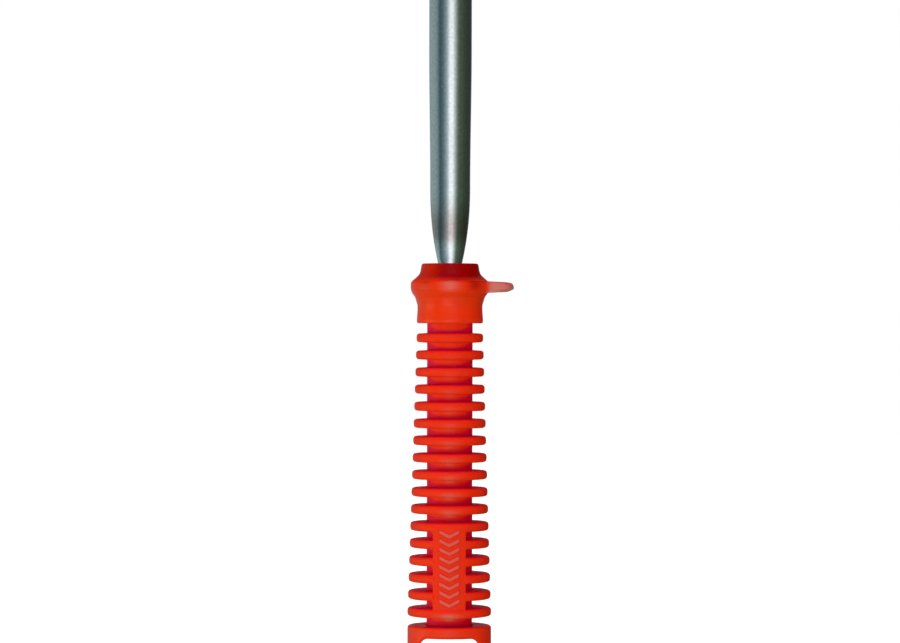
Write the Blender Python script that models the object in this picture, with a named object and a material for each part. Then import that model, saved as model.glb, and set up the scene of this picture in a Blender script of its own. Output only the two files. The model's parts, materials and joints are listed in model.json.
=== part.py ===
"""Insulated screwdriver with a fixed blade, a ribbed soft grip and a hanging eye.

The tool stands on its butt: +Z runs along the axis to the blade's tip, +X points to the guard's side tab, and
-Y is the front. The origin is the centre of the flat end face of the butt. Metres throughout.
"""

import math

import bmesh
import bpy
from mathutils import Matrix, Vector

MM = 0.001

# Fits
CLEARANCE = 0.3 * MM  # between any two pieces that touch

# Blade: shank, reduction, neck and ground tip
SHANK_RADIUS = 5.0 * MM
BLADE_REACH = 200.0 * MM  # from the collar's top to the tip
NECK_RADIUS = 2.8 * MM
REDUCTION_LENGTH = 18.0 * MM  # the curved end of the shank, above the neck
REDUCTION_CURVE = 2.2  # power of that curve: 1 is a cone, 2 a parabola
SWAGE_LENGTH = 32.0 * MM  # the long slight taper above the reduction
SWAGE_DEPTH = 0.3 * MM
TIP_THICKNESS = 1.6 * MM
GRIND_RADIUS = 60.0 * MM  # of the wheel that hollow-grinds the tip

# Tang, inside the handle
TANG_RADIUS = 2.2 * MM
TANG_LENGTH = 52.0 * MM  # below the neck's shoulder
WING_WIDTH = 5.4 * MM
WING_THICKNESS = 1.4 * MM
WING_LENGTH = 10.0 * MM
WING_DROP = 14.0 * MM  # from the shoulder to the wings' top
RING_DROP = 40.0 * MM  # from the shoulder to the middle of the ring's groove
RING_THICKNESS = 1.0 * MM
RING_WALL = 1.1 * MM
RING_OPENING = 1.6 * MM
GROOVE_DEPTH = 0.5 * MM

# Core halves, under the sleeve
CORE_WALL = 1.2 * MM
CORE_INTO_COLLAR = 6.0 * MM
CORE_INTO_LOOP = 1.2 * MM

# Grip sleeve
SLEEVE_WALL = 1.35 * MM
SLEEVE_INTO_COLLAR = 3.0 * MM
SLEEVE_INTO_LOOP = 0.8 * MM
RIB_COUNT = 17
RIB_PITCH = 4.0 * MM
RIB_THICKNESS = 1.9 * MM
RIB_EDGE = 0.6 * MM  # chamfer on a rib's rim
TOP_RIB_RADIUS = 7.8 * MM
RIB_GROWTH = 0.125 * MM  # each rib is this much larger in radius than the one above
FIRST_RIB_DROP = 3.4 * MM  # from the collar's lower edge to the first rib's middle
LAST_RIB_RISE = 3.2 * MM  # from the end loop's top to the last rib's middle

# Pads: long raised labels on the front and back of the grip
PAD_WIDTH = 7.7 * MM
PAD_TOP_RIB = 11  # counted from 0 at the top
PAD_PROUD = 0.1 * MM  # beyond the ribs' rims

# Guard collar
COLLAR_HEIGHT = 14.0 * MM
COLLAR_TOP_RADIUS = 6.9 * MM
COLLAR_RADIUS = 7.6 * MM
FLANGE_RADIUS = 9.2 * MM
FLANGE_DROP = 5.2 * MM  # from the collar's top to the flange's middle
FLANGE_RIM = 1.4 * MM  # height of the flange's straight rim
FLANGE_EDGE = 0.3 * MM  # chamfer above and below that rim
UPPER_FILLET = 1.8 * MM  # from the rim up to the straight top
LOWER_FILLET = 3.0 * MM  # from the rim down to the body
COLLAR_EDGE = 0.5 * MM  # chamfer at the top and the foot
COLLAR_LIP = 0.15 * MM  # flare of the foot
TAB_REACH = 15.0 * MM  # tip's distance from the axis
TAB_WIDTH = 7.0 * MM
TAB_ROOT_THICKNESS = 2.4 * MM
TAB_TIP_THICKNESS = 1.6 * MM

# Neck bush
BUSH_WALL = 1.1 * MM
BUSH_SUNK = 0.6 * MM  # below the collar's top

# End loop
LOOP_RADIUS = 9.8 * MM
LOOP_HEIGHT = 23.4 * MM
LOOP_TOP_EDGE = 0.6 * MM
LOOP_BUTT_EDGE = 1.8 * MM
EYE_WIDTH = 13.2 * MM
EYE_TOP_WEB = 2.6 * MM  # between the eye and the loop's top
EYE_END_WALL = 5.0 * MM
EYE_CORNER = 1.7 * MM
STEM_LENGTH = 12.0 * MM
PIN_RADIUS = 0.8 * MM
PIN_RISE = 6.0 * MM  # from the loop's top to the pin's axis

# Facets
ROUND_SIDES = 32
FINE_SIDES = 40
SMALL_SIDES = 24
PIN_SIDES = 16
WHEEL_SIDES = 240
SMOOTH_BELOW = math.radians(32)

# Heights that follow from the stack
LAST_RIB_Z = LOOP_HEIGHT + LAST_RIB_RISE
FIRST_RIB_Z = LAST_RIB_Z + (RIB_COUNT - 1) * RIB_PITCH
COLLAR_FOOT_Z = FIRST_RIB_Z + FIRST_RIB_DROP
COLLAR_TOP_Z = COLLAR_FOOT_Z + COLLAR_HEIGHT
TIP_Z = COLLAR_TOP_Z + BLADE_REACH
CORE_TOP_Z = COLLAR_FOOT_Z + CORE_INTO_COLLAR
CORE_FOOT_Z = LOOP_HEIGHT - CORE_INTO_LOOP
SLEEVE_TOP_Z = COLLAR_FOOT_Z + SLEEVE_INTO_COLLAR
SLEEVE_FOOT_Z = LOOP_HEIGHT - SLEEVE_INTO_LOOP
SHOULDER_Z = CORE_TOP_Z + CLEARANCE
RING_Z = SHOULDER_Z - RING_DROP
PIN_Z = LOOP_HEIGHT + PIN_RISE

# Radii that follow from the fits
CORE_BORE = TANG_RADIUS + CLEARANCE
CORE_RADIUS = CORE_BORE + CORE_WALL
SLEEVE_BORE = CORE_RADIUS + CLEARANCE
SLEEVE_RADIUS = SLEEVE_BORE + SLEEVE_WALL
BUSH_BORE = NECK_RADIUS + CLEARANCE
BUSH_RADIUS = BUSH_BORE + BUSH_WALL
GROOVE_RADIUS = TANG_RADIUS - GROOVE_DEPTH
RING_BORE = GROOVE_RADIUS + CLEARANCE
RING_RADIUS = RING_BORE + RING_WALL


def clear_scene():
    for item in list(bpy.data.objects):
        bpy.data.objects.remove(item, do_unlink=True)


def make_material(name, colour, roughness, metallic=0.0):
    material = bpy.data.materials.new(name)
    material.use_nodes = True
    shader = material.node_tree.nodes["Principled BSDF"]
    shader.inputs["Base Color"].default_value = (*colour, 1.0)
    shader.inputs["Roughness"].default_value = roughness
    shader.inputs["Metallic"].default_value = metallic
    return material


def add_object(name, mesh):
    item = bpy.data.objects.new(name, mesh)
    bpy.context.scene.collection.objects.link(item)
    return item


def finish_mesh(name, work):
    """Turns a closed bmesh into an object with its faces out and round faces smooth."""
    bmesh.ops.recalc_face_normals(work, faces=work.faces)
    mesh = bpy.data.meshes.new(name)
    work.to_mesh(mesh)
    work.free()
    mesh.shade_smooth()
    mesh.set_sharp_from_angle(angle=SMOOTH_BELOW)
    return add_object(name, mesh)


def turn(name, profile, sides, closed=True):
    """Spins a profile of (radius, height) points about Z. An open profile starts and ends on the axis."""
    work = bmesh.new()
    points = [work.verts.new((radius, 0.0, height)) for radius, height in profile]
    ends = points[1:] + points[:1] if closed else points[1:]
    edges = [work.edges.new(pair) for pair in zip(points, ends)]
    bmesh.ops.spin(
        work,
        geom=points + edges,
        cent=(0, 0, 0),
        axis=(0, 0, 1),
        angle=2 * math.pi,
        steps=sides,
        use_merge=True,
    )
    bmesh.ops.remove_doubles(work, verts=work.verts, dist=1e-7)
    return finish_mesh(name, work)


def extrude_outline(name, outline, depth):
    """Raises a flat outline of (x, y) points from z = 0 to depth."""
    work = bmesh.new()
    face = work.faces.new([work.verts.new((x, y, 0.0)) for x, y in outline])
    grown = bmesh.ops.extrude_face_region(work, geom=[face])
    top = [item for item in grown["geom"] if isinstance(item, bmesh.types.BMVert)]
    bmesh.ops.translate(work, vec=(0, 0, depth), verts=top)
    return finish_mesh(name, work)


def box(name, low, high):
    work = bmesh.new()
    bmesh.ops.create_cube(work, size=1.0)
    low = Vector(low)
    high = Vector(high)
    size = high - low
    bmesh.ops.scale(work, vec=size, verts=work.verts)
    bmesh.ops.translate(work, vec=(low + high) / 2, verts=work.verts)
    return finish_mesh(name, work)


def rod_along_x(name, radius, length, sides):
    work = bmesh.new()
    upright = Matrix.Rotation(math.pi / 2, 4, "Y")
    bmesh.ops.create_cone(
        work, cap_ends=True, segments=sides, radius1=radius, radius2=radius, depth=length, matrix=upright
    )
    return finish_mesh(name, work)


def as_tool(item):
    """A cutter or an added lump: it shapes another piece and isn't one itself."""
    item.hide_render = True
    item.display_type = "WIRE"
    return item


def combine(item, tool, operation):
    step = item.modifiers.new(tool.name, "BOOLEAN")
    step.object = as_tool(tool)
    step.operation = operation
    step.solver = "EXACT"


def rib_radius(index):
    return TOP_RIB_RADIUS + index * RIB_GROWTH


def rib_height(index):
    return FIRST_RIB_Z - index * RIB_PITCH


def reduction_radius(rise):
    """Shank radius at a height above the collar's top: neck, curved reduction, slight taper, full shank."""
    foot = SHANK_RADIUS - SWAGE_DEPTH
    if rise < REDUCTION_LENGTH:
        share = 1 - rise / REDUCTION_LENGTH
        return foot - (foot - NECK_RADIUS) * share**REDUCTION_CURVE
    share = min((rise - REDUCTION_LENGTH) / SWAGE_LENGTH, 1.0)
    return foot + SWAGE_DEPTH * share * share * (3 - 2 * share)


def make_blade(steel):
    half_groove = RING_THICKNESS / 2 + CLEARANCE
    tang_foot = SHOULDER_Z - TANG_LENGTH
    profile = [
        (0.0, tang_foot),
        (TANG_RADIUS - GROOVE_DEPTH, tang_foot),
        (TANG_RADIUS, tang_foot + GROOVE_DEPTH),
        (TANG_RADIUS, RING_Z - half_groove),
        (GROOVE_RADIUS, RING_Z - half_groove),
        (GROOVE_RADIUS, RING_Z + half_groove),
        (TANG_RADIUS, RING_Z + half_groove),
        (TANG_RADIUS, SHOULDER_Z),
        (NECK_RADIUS, SHOULDER_Z),
    ]
    steps_in_reduction = 10
    steps_in_swage = 4
    for step in range(steps_in_reduction + 1):
        rise = REDUCTION_LENGTH * step / steps_in_reduction
        profile.append((reduction_radius(rise), COLLAR_TOP_Z + rise))
    for step in range(1, steps_in_swage + 1):
        rise = REDUCTION_LENGTH + SWAGE_LENGTH * step / steps_in_swage
        profile.append((reduction_radius(rise), COLLAR_TOP_Z + rise))
    profile += [(SHANK_RADIUS, TIP_Z), (0.0, TIP_Z)]
    blade = turn("blade", profile, ROUND_SIDES, closed=False)

    wing_top = SHOULDER_Z - WING_DROP
    wings = box(
        "tang_wings",
        (-WING_THICKNESS / 2, -WING_WIDTH / 2, wing_top - WING_LENGTH),
        (WING_THICKNESS / 2, WING_WIDTH / 2, wing_top),
    )
    combine(blade, wings, "UNION")
    for side, label in ((-1, "front"), (1, "back")):
        wheel = rod_along_x(f"grind_{label}", GRIND_RADIUS, 4 * SHANK_RADIUS, WHEEL_SIDES)
        wheel.location = (0, side * (GRIND_RADIUS + TIP_THICKNESS / 2), TIP_Z)
        combine(blade, wheel, "DIFFERENCE")
    blade.data.materials.append(steel)
    return blade


def make_tang_ring(steel):
    half = RING_THICKNESS / 2
    ring = turn(
        "tang_ring",
        [
            (RING_RADIUS, RING_Z + half),
            (RING_RADIUS, RING_Z - half),
            (RING_BORE, RING_Z - half),
            (RING_BORE, RING_Z + half),
        ],
        SMALL_SIDES,
    )
    mouth = box(
        "ring_mouth",
        (-RING_OPENING / 2, -2 * RING_RADIUS, RING_Z - RING_THICKNESS),
        (RING_OPENING / 2, 0, RING_Z + RING_THICKNESS),
    )
    combine(ring, mouth, "DIFFERENCE")
    ring.data.materials.append(steel)
    return ring


def make_core_half(side, label, nylon):
    """Half of the split core tube: side is -1 for the -X half and +1 for the +X half."""
    half_groove = RING_THICKNESS / 2 + CLEARANCE
    groove = RING_RADIUS + CLEARANCE
    half = turn(
        f"core_half_{label}",
        [
            (CORE_RADIUS, CORE_TOP_Z),
            (CORE_RADIUS, CORE_FOOT_Z + CLEARANCE),
            (CORE_BORE, CORE_FOOT_Z + CLEARANCE),
            (CORE_BORE, RING_Z - half_groove),
            (groove, RING_Z - half_groove),
            (groove, RING_Z + half_groove),
            (CORE_BORE, RING_Z + half_groove),
            (CORE_BORE, CORE_TOP_Z),
        ],
        SMALL_SIDES,
    )
    far = 2 * CORE_RADIUS
    faces = sorted((side * CLEARANCE / 2, -side * far))
    other_half = box(
        f"split_{label}", (faces[0], -far, CORE_FOOT_Z - far), (faces[1], far, CORE_TOP_Z + far)
    )
    combine(half, other_half, "DIFFERENCE")

    wing_top = SHOULDER_Z - WING_DROP + CLEARANCE
    wing_foot = wing_top - WING_LENGTH - 2 * CLEARANCE
    deep = WING_THICKNESS / 2 + CLEARANCE
    wide = WING_WIDTH / 2 + CLEARANCE
    pocket = box(f"wing_pocket_{label}", (-deep, -wide, wing_foot), (deep, wide, wing_top))
    combine(half, pocket, "DIFFERENCE")

    hole = rod_along_x(f"pin_hole_{label}", PIN_RADIUS + CLEARANCE, 4 * CORE_RADIUS, PIN_SIDES)
    hole.location = (0, 0, PIN_Z)
    combine(half, hole, "DIFFERENCE")
    half.data.materials.append(nylon)
    return half


def make_neck_bush(nylon):
    foot = CORE_TOP_Z + 2 * CLEARANCE
    top = COLLAR_TOP_Z - BUSH_SUNK
    bush = turn(
        "neck_bush",
        [(BUSH_RADIUS, top), (BUSH_RADIUS, foot), (BUSH_BORE, foot), (BUSH_BORE, top)],
        SMALL_SIDES,
    )
    bush.data.materials.append(nylon)
    return bush


def sleeve_profile():
    """Outer side from top to foot, rib by rib, then up the bore."""
    profile = [(SLEEVE_RADIUS, SLEEVE_TOP_Z)]
    half = RIB_THICKNESS / 2
    for index in range(RIB_COUNT):
        middle = rib_height(index)
        rim = rib_radius(index)
        profile += [
            (SLEEVE_RADIUS, middle + half),
            (rim - RIB_EDGE, middle + half),
            (rim, middle + half - RIB_EDGE),
            (rim, middle - half + RIB_EDGE),
            (rim - RIB_EDGE, middle - half),
            (SLEEVE_RADIUS, middle - half),
        ]
    foot = SLEEVE_FOOT_Z + CLEARANCE
    return profile + [(SLEEVE_RADIUS, foot), (SLEEVE_BORE, foot), (SLEEVE_BORE, SLEEVE_TOP_Z)]


def make_pad(side, label):
    """A lump to add to the sleeve: the ribs' own cone between the top pad rib and the last rib, trimmed to width."""
    last = RIB_COUNT - 1
    inner = (SLEEVE_BORE + SLEEVE_RADIUS) / 2
    pad = turn(
        f"pad_{label}",
        [
            (inner, rib_height(PAD_TOP_RIB)),
            (rib_radius(PAD_TOP_RIB) + PAD_PROUD, rib_height(PAD_TOP_RIB)),
            (rib_radius(last - 1) + PAD_PROUD, rib_height(last - 1)),
            (rib_radius(last) - RIB_EDGE, rib_height(last)),
            (inner, rib_height(last)),
        ],
        ROUND_SIDES,
    )
    far = 2 * rib_radius(last)
    ends = sorted((0.0, side * far))
    width = box(
        f"pad_width_{label}",
        (-PAD_WIDTH / 2, ends[0], rib_height(last) - far),
        (PAD_WIDTH / 2, ends[1], rib_height(PAD_TOP_RIB) + far),
    )
    combine(pad, width, "INTERSECT")
    return pad


def make_grip_sleeve(soft_red):
    sleeve = turn("grip_sleeve", sleeve_profile(), ROUND_SIDES)
    for side, label in ((-1, "front"), (1, "back")):
        combine(sleeve, make_pad(side, label), "UNION")
    sleeve.data.materials.append(soft_red)
    return sleeve


def collar_profile():
    """Outer side from the top edge over the flange to the foot, then up through the stepped bore."""
    rim_top = COLLAR_TOP_Z - FLANGE_DROP + FLANGE_RIM / 2
    rim_foot = rim_top - FLANGE_RIM
    upper_step = FLANGE_RADIUS - COLLAR_TOP_RADIUS
    lower_step = FLANGE_RADIUS - COLLAR_RADIUS
    foot_radius = COLLAR_RADIUS + COLLAR_LIP
    shelf = CORE_TOP_Z + CLEARANCE
    return [
        (COLLAR_TOP_RADIUS - COLLAR_EDGE, COLLAR_TOP_Z),
        (COLLAR_TOP_RADIUS, COLLAR_TOP_Z - COLLAR_EDGE),
        (COLLAR_TOP_RADIUS + upper_step / 8, rim_top + UPPER_FILLET),
        (COLLAR_TOP_RADIUS + upper_step / 2, rim_top + UPPER_FILLET / 3),
        (FLANGE_RADIUS - FLANGE_EDGE, rim_top),
        (FLANGE_RADIUS, rim_top - FLANGE_EDGE),
        (FLANGE_RADIUS, rim_foot + FLANGE_EDGE),
        (FLANGE_RADIUS - FLANGE_EDGE, rim_foot),
        (COLLAR_RADIUS + lower_step / 3, rim_foot - LOWER_FILLET / 3),
        (COLLAR_RADIUS, rim_foot - LOWER_FILLET),
        (foot_radius, COLLAR_FOOT_Z + COLLAR_EDGE),
        (foot_radius - COLLAR_EDGE, COLLAR_FOOT_Z),
        (SLEEVE_RADIUS + CLEARANCE, COLLAR_FOOT_Z),
        (SLEEVE_RADIUS + CLEARANCE, SLEEVE_TOP_Z + CLEARANCE),
        (CORE_RADIUS + CLEARANCE, SLEEVE_TOP_Z + CLEARANCE),
        (CORE_RADIUS + CLEARANCE, shelf),
        (BUSH_RADIUS + CLEARANCE, shelf),
        (BUSH_RADIUS + CLEARANCE, COLLAR_TOP_Z),
    ]


def make_side_tab():
    """The tab seen from above is a bar with a round end. It gets thinner towards its tip."""
    root = (BUSH_RADIUS + COLLAR_TOP_RADIUS) / 2
    half = TAB_WIDTH / 2
    round_start = TAB_REACH - half
    arc_steps = 10
    outline = [(root, -half)]
    for step in range(arc_steps + 1):
        angle = -math.pi / 2 + math.pi * step / arc_steps
        outline.append((round_start + half * math.cos(angle), half * math.sin(angle)))
    outline.append((root, half))
    tab = extrude_outline("side_tab", outline, TAB_ROOT_THICKNESS)
    for vertex in tab.data.vertices:
        share = (vertex.co.x - root) / (TAB_REACH - root)
        thin = 1 + (TAB_TIP_THICKNESS / TAB_ROOT_THICKNESS - 1) * share
        vertex.co.z = (vertex.co.z - TAB_ROOT_THICKNESS / 2) * thin
    tab.location = (0, 0, COLLAR_TOP_Z - FLANGE_DROP)
    return tab


def make_guard_collar(firm_red):
    collar = turn("guard_collar", collar_profile(), FINE_SIDES)
    combine(collar, make_side_tab(), "UNION")
    collar.data.materials.append(firm_red)
    return collar


def rounded_rectangle(width, height, corner, steps):
    """Points of an upright rectangle with round corners, centred on the origin, anticlockwise."""
    points = []
    for quarter, (across, up) in enumerate(((1, 1), (-1, 1), (-1, -1), (1, -1))):
        for step in range(steps + 1):
            angle = (quarter + step / steps) * math.pi / 2
            x = across * (width / 2 - corner) + corner * math.cos(angle)
            z = up * (height / 2 - corner) + corner * math.sin(angle)
            points.append((x, z))
    return points


def make_eye_cutter():
    eye_height = LOOP_HEIGHT - EYE_TOP_WEB - EYE_END_WALL
    corner = min(EYE_CORNER, EYE_WIDTH / 2, eye_height / 2)
    eye = extrude_outline("eye", rounded_rectangle(EYE_WIDTH, eye_height, corner, 4), 4 * LOOP_RADIUS)
    eye.rotation_euler = (math.pi / 2, 0, 0)
    eye.location = (0, 2 * LOOP_RADIUS, EYE_END_WALL + eye_height / 2)
    return eye


def make_end_loop(firm_red):
    """A round block with a stem up its middle. Sleeve and core stand in the shallow sockets round the stem."""
    butt = LOOP_BUTT_EDGE
    edge = LOOP_TOP_EDGE
    socket = CORE_FOOT_Z
    profile = [
        (0.0, socket + STEM_LENGTH),
        (TANG_RADIUS, socket + STEM_LENGTH),
        (TANG_RADIUS, socket),
        (CORE_RADIUS + CLEARANCE, socket),
        (CORE_RADIUS + CLEARANCE, SLEEVE_FOOT_Z),
        (SLEEVE_RADIUS + CLEARANCE, SLEEVE_FOOT_Z),
        (SLEEVE_RADIUS + CLEARANCE, LOOP_HEIGHT),
        (LOOP_RADIUS - edge, LOOP_HEIGHT),
        (LOOP_RADIUS, LOOP_HEIGHT - edge),
    ]
    arc_steps = 4
    for step in range(arc_steps + 1):
        angle = math.pi / 2 * step / arc_steps
        profile.append((LOOP_RADIUS - butt * (1 - math.cos(angle)), butt * (1 - math.sin(angle))))
    profile.append((0.0, 0.0))
    loop = turn("end_loop", profile, FINE_SIDES, closed=False)
    combine(loop, make_eye_cutter(), "DIFFERENCE")
    hole = rod_along_x("stem_hole", PIN_RADIUS + CLEARANCE, 4 * TANG_RADIUS, PIN_SIDES)
    hole.location = (0, 0, PIN_Z)
    combine(loop, hole, "DIFFERENCE")
    loop.data.materials.append(firm_red)
    return loop


def make_loop_pin(steel):
    pin = rod_along_x("loop_pin", PIN_RADIUS, 2 * (CORE_RADIUS - CLEARANCE / 2), PIN_SIDES)
    pin.location = (0, 0, PIN_Z)
    pin.data.materials.append(steel)
    return pin


def make_screwdriver():
    steel = make_material("satin nickel steel", (0.36, 0.38, 0.37), 0.35, 1.0)
    spring_steel = make_material("spring steel", (0.30, 0.30, 0.31), 0.40, 1.0)
    soft_red = make_material("soft red grip", (0.76, 0.05, 0.02), 0.55)
    firm_red = make_material("firm red moulding", (0.72, 0.04, 0.02), 0.48)
    nylon = make_material("white nylon", (0.70, 0.68, 0.62), 0.50)

    make_blade(steel)
    make_tang_ring(spring_steel)
    make_core_half(-1, "left", nylon)
    make_core_half(1, "right", nylon)
    make_neck_bush(nylon)
    make_grip_sleeve(soft_red)
    make_guard_collar(firm_red)
    make_end_loop(firm_red)
    make_loop_pin(spring_steel)


clear_scene()
make_screwdriver()
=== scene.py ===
# %% [markdown]
# # A slim screwdriver with a ribbed red grip
#
# This lesson builds the finished look of one hand tool: a satin steel blade, a soft ribbed grip, a guard
# collar with a side tab, and a butt with an eye to hang it by. The frame already holds the tool's plain
# solids in metres, standing on the butt with +Z towards the blade's tip. A finished piece could be sculpted
# or subdivided by hand, but every shape here is turned or extruded on the real tool, so each one is worked
# out as a formula on a grid. That keeps it exact and easy to change.

# %% Load the frame
import json
import math

import bmesh
import bpy
import numpy as np
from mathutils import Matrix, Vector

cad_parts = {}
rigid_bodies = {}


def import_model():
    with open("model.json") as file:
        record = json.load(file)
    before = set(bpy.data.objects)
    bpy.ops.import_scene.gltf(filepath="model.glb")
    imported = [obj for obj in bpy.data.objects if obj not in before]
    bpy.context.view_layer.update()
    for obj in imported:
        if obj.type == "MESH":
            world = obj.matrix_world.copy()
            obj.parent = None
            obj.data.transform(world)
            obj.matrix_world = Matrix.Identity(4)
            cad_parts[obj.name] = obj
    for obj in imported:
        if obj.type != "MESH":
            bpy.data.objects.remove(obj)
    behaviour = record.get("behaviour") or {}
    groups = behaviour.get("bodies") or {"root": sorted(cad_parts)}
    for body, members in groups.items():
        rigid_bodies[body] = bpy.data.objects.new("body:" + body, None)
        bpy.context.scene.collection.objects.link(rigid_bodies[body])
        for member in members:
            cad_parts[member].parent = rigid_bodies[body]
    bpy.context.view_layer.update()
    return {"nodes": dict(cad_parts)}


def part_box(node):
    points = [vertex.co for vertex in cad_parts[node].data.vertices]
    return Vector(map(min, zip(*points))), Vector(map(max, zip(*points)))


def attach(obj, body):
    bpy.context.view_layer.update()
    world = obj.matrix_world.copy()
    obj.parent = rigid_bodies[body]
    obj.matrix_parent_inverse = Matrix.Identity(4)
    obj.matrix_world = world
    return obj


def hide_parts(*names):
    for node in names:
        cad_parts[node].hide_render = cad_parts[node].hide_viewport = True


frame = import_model()
BODY = "root"
MM = 0.001

# %% [markdown]
# The heights come from the solids themselves, so a piece always lands where its plain version stands. The
# few sizes that a box can't tell, such as the thickness of a rib, are named here in millimetres.

# %% Sizes read from the frame, and a few of the maker's own
blade_low, blade_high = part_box("blade")
collar_low, collar_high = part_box("guard_collar")
sleeve_low, sleeve_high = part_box("grip_sleeve")
core_low, core_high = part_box("core_half_left")
ring_low, ring_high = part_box("tang_ring")
_, loop_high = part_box("end_loop")
_, bush_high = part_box("neck_bush")

TIP_Z = blade_high.z
TANG_FOOT_Z = blade_low.z
COLLAR_TOP_Z = collar_high.z
COLLAR_FOOT_Z = collar_low.z
SLEEVE_TOP_Z = sleeve_high.z
SLEEVE_FOOT_Z = sleeve_low.z
CORE_TOP_Z = core_high.z
SHANK_RADIUS = blade_high.x
TAB_REACH = collar_high.x
FLANGE_RADIUS = collar_high.y
LOOP_RADIUS = loop_high.y
LOOP_HEIGHT = 23.4 * MM
CLEARANCE = 0.3 * MM
SLEEVE_WALL = 1.35 * MM
CORE_RADIUS = core_high.y
SLEEVE_BORE = CORE_RADIUS + CLEARANCE
SLEEVE_RADIUS = SLEEVE_BORE + SLEEVE_WALL
print(f"tip at {TIP_Z / MM:.1f} mm, collar {COLLAR_FOOT_Z / MM:.1f} to {COLLAR_TOP_Z / MM:.1f} mm")

# %% [markdown]
# Every finished piece is one or more sheets. A sheet is a grid of points, and its rows and columns are
# joined into four-sided faces. Where a sheet closes on itself, its first points are simply repeated at the
# end, and where it shrinks to a pole, a whole row sits on one point. Welding the repeated points then makes
# the closed skin. Spinning an outline would do for round shapes, but not for a rib that a flat pad crosses.


# %% Weld sheets of points into one closed mesh
def weld_sheets(sheets):
    """Joins grids of shape (rows, columns, 4): x, y, z and a tone, which is painted shade above 0 and
    painted highlight or paler plastic below 0. Points that agree to 0.1 micron become one vertex."""
    corners = []
    faces = []
    count = 0
    for sheet in sheets:
        rows, columns = sheet.shape[:2]
        index = count + np.arange(rows * columns).reshape(rows, columns)
        quads = np.stack([index[:-1, :-1], index[:-1, 1:], index[1:, 1:], index[1:, :-1]], axis=-1)
        faces.append(quads.reshape(-1, 4))
        corners.append(sheet.reshape(-1, 4))
        count += rows * columns
    points = np.concatenate(corners)
    keys = np.round(points[:, :3] / 1e-7).astype(np.int64)
    _, first, same_as = np.unique(keys, axis=0, return_index=True, return_inverse=True)
    quads = same_as.reshape(-1)[np.concatenate(faces)]
    return points[first], quads


def make_mesh(name, sheets, sharp_above=35):
    """Builds the mesh. A corner equal to the one before it is left out, so a quad may become a triangle."""
    points, quads = weld_sheets(sheets)
    kept = quads != np.roll(quads, 1, axis=1)
    size = kept.sum(axis=1)
    whole = size >= 3
    loops = quads[whole][kept[whole]]
    starts = np.concatenate([[0], np.cumsum(size[whole])[:-1]])
    mesh = bpy.data.meshes.new(name)
    mesh.vertices.add(len(points))
    mesh.vertices.foreach_set("co", points[:, :3].astype(np.float32).ravel())
    mesh.loops.add(len(loops))
    mesh.loops.foreach_set("vertex_index", loops.astype(np.int32))
    mesh.polygons.add(len(starts))
    mesh.polygons.foreach_set("loop_start", starts.astype(np.int32))
    mesh.update(calc_edges=True)
    shade_and_pale = mesh.attributes.new("shade_and_pale", "FLOAT", "POINT")
    shade_and_pale.data.foreach_set("value", points[:, 3].astype(np.float32))
    mesh.validate()
    work = bmesh.new()
    work.from_mesh(mesh)
    bmesh.ops.recalc_face_normals(work, faces=work.faces)
    open_edges = sum(not edge.is_manifold for edge in work.edges)
    work.to_mesh(mesh)
    work.free()
    mesh.shade_smooth()
    mesh.set_sharp_from_angle(angle=math.radians(sharp_above))
    print(f"{name}: {len(points)} points, {len(starts)} faces, {open_edges} open edges")
    return mesh


def make_piece(name, sheets, material, stands_for=None, sharp_above=35):
    """A finished piece that rides on the tool's one body."""
    piece = bpy.data.objects.new(name, make_mesh(name, sheets, sharp_above))
    bpy.context.scene.collection.objects.link(piece)
    piece.data.materials.append(material)
    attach(piece, BODY)
    if stands_for:
        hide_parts(stands_for)
    return piece


# %% [markdown]
# A turned part starts as a profile of a few corners, given as radius and height. Real corners are never
# sharp: moulded plastic has radii and steel has broken edges. This helper swaps each corner for an arc that
# touches both of its sides, which is what a fillet tool does.


# %% Round the corners of a profile
def round_corners(profile, radii, steps=4, closed=False):
    """Each corner becomes an arc tangent to both sides. The arc's centre is on the corner's bisector, at
    radius / sin(half angle), and its ends are radius / tan(half angle) from the corner."""
    corner = np.asarray(profile, float)
    radius = np.broadcast_to(np.asarray(radii, float), len(corner)).copy()
    if not closed:
        radius[[0, -1]] = 0
    back = np.roll(corner, 1, axis=0) - corner
    ahead = np.roll(corner, -1, axis=0) - corner
    back_length = np.linalg.norm(back, axis=1)
    ahead_length = np.linalg.norm(ahead, axis=1)
    back /= back_length[:, None]
    ahead /= ahead_length[:, None]
    half = np.arccos(np.clip((back * ahead).sum(axis=1), -1, 1)) / 2
    half = np.clip(half, 1e-3, math.pi / 2 - 1e-3)
    cut = np.minimum(radius / np.tan(half), 0.49 * np.minimum(back_length, ahead_length))
    radius = cut * np.tan(half)
    bisector = back + ahead
    bisector /= np.maximum(np.linalg.norm(bisector, axis=1), 1e-9)[:, None]
    centre = corner + bisector * (radius / np.sin(half))[:, None]
    begin = corner + back * cut[:, None] - centre
    end = corner + ahead * cut[:, None] - centre
    share = np.linspace(0, 1, steps + 1)[None, :, None]
    sweep = (math.pi - 2 * half)[:, None, None]
    arc = begin[:, None] * np.sin((1 - share) * sweep) + end[:, None] * np.sin(share * sweep)
    arc = centre[:, None] + arc / np.sin(sweep)
    straight = np.where((radius > 1e-9)[:, None, None], arc, corner[:, None])
    return straight.reshape(-1, 2)


def polar_sheet(radius, height, angles, shade_and_pale=0.0):
    """Carries radii and heights round the axis: x = r cos a, y = r sin a."""
    parts = [radius * np.cos(angles), radius * np.sin(angles), height, shade_and_pale]
    return np.stack(np.broadcast_arrays(*parts), axis=-1)


def closed_ring(sheet):
    """Repeats the first row after the last, so that a closed profile makes a closed ring."""
    return [np.concatenate([sheet, sheet[:1]], axis=0)]


# %% [markdown]
# Materials start from sRGB hex colours, as a paint chip would give them, but the shader works in linear
# light. One function makes the change. Another adds a node with its settings, and fills its inputs with
# constants or with links.


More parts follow.
